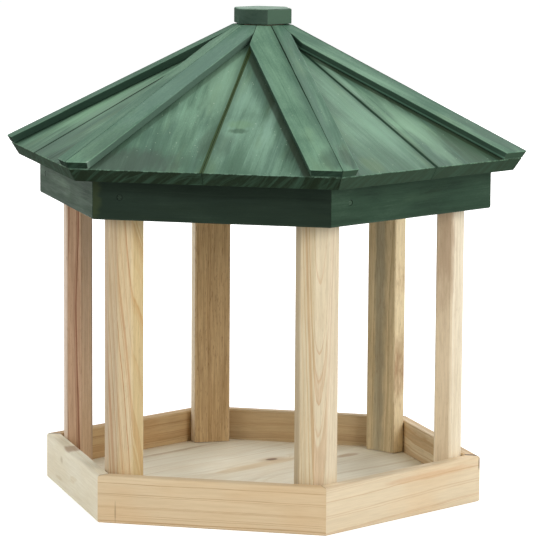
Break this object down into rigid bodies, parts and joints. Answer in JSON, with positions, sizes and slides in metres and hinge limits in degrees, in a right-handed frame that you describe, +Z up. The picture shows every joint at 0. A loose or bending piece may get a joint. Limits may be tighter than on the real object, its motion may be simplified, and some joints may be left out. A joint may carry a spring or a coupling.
{
  "type": "bird table",
  "caption": "Free-standing wooden bird table: hexagonal railed tray, posts in its corners, and a pointed boarded roof with hip strips, fascia and a small cap.",
  "frame": {"origin": "centre of the underside of the tray", "axes": "+Z up, -Y out through the middle of the front rail, +X through the corner of the tray on the right"},
  "size_m": [0.3316, 0.2874, 0.3023],
  "materials": {
    "bare_softwood": "bare planed softwood, matt",
    "rail_softwood": "bare planed softwood, matt",
    "green_stained_wood": "thin green wood stain, satin",
    "dark_green_stained_wood": "thick green wood stain, satin",
    "zinc_plated_steel": "zinc-plated steel"
  },
  "bodies": {
    "root": {"tray_floor": "bare_softwood", "tray_rail_1": "rail_softwood", "tray_rail_2": "rail_softwood", "tray_rail_3": "rail_softwood", "tray_rail_4": "rail_softwood", "tray_rail_5": "rail_softwood", "tray_rail_6": "rail_softwood", "post_1": "bare_softwood", "post_2": "bare_softwood", "post_3": "bare_softwood", "post_4": "bare_softwood", "post_5": "bare_softwood", "post_6": "bare_softwood", "post_screw_1": "zinc_plated_steel", "post_screw_2": "zinc_plated_steel", "post_screw_3": "zinc_plated_steel", "post_screw_4": "zinc_plated_steel", "post_screw_5": "zinc_plated_steel", "post_screw_6": "zinc_plated_steel", "fascia_board_1": "dark_green_stained_wood", "fascia_board_2": "dark_green_stained_wood", "fascia_board_3": "dark_green_stained_wood", "fascia_board_4": "dark_green_stained_wood", "fascia_board_5": "dark_green_stained_wood", "fascia_board_6": "dark_green_stained_wood", "fascia_nail_1": "zinc_plated_steel", "fascia_nail_2": "zinc_plated_steel", "fascia_nail_3": "zinc_plated_steel", "fascia_nail_4": "zinc_plated_steel", "fascia_nail_5": "zinc_plated_steel", "fascia_nail_6": "zinc_plated_steel", "roof_board_1_left": "green_stained_wood", "hip_strip_1_left": "green_stained_wood", "roof_board_1_right": "green_stained_wood", "hip_strip_1_right": "green_stained_wood", "roof_board_2_left": "green_stained_wood", "hip_strip_2_left": "green_stained_wood", "roof_board_2_right": "green_stained_wood", "hip_strip_2_right": "green_stained_wood", "roof_board_3_left": "green_stained_wood", "hip_strip_3_left": "green_stained_wood", "roof_board_3_right": "green_stained_wood", "hip_strip_3_right": "green_stained_wood", "roof_board_4_left": "green_stained_wood", "hip_strip_4_left": "green_stained_wood", "roof_board_4_right": "green_stained_wood", "hip_strip_4_right": "green_stained_wood", "roof_board_5_left": "green_stained_wood", "hip_strip_5_left": "green_stained_wood", "roof_board_5_right": "green_stained_wood", "hip_strip_5_right": "green_stained_wood", "roof_board_6_left": "green_stained_wood", "hip_strip_6_left": "green_stained_wood", "roof_board_6_right": "green_stained_wood", "hip_strip_6_right": "green_stained_wood", "king_block": "bare_softwood", "roof_cap": "dark_green_stained_wood", "cap_dowel": "bare_softwood"}
  },
  "joints": []
}
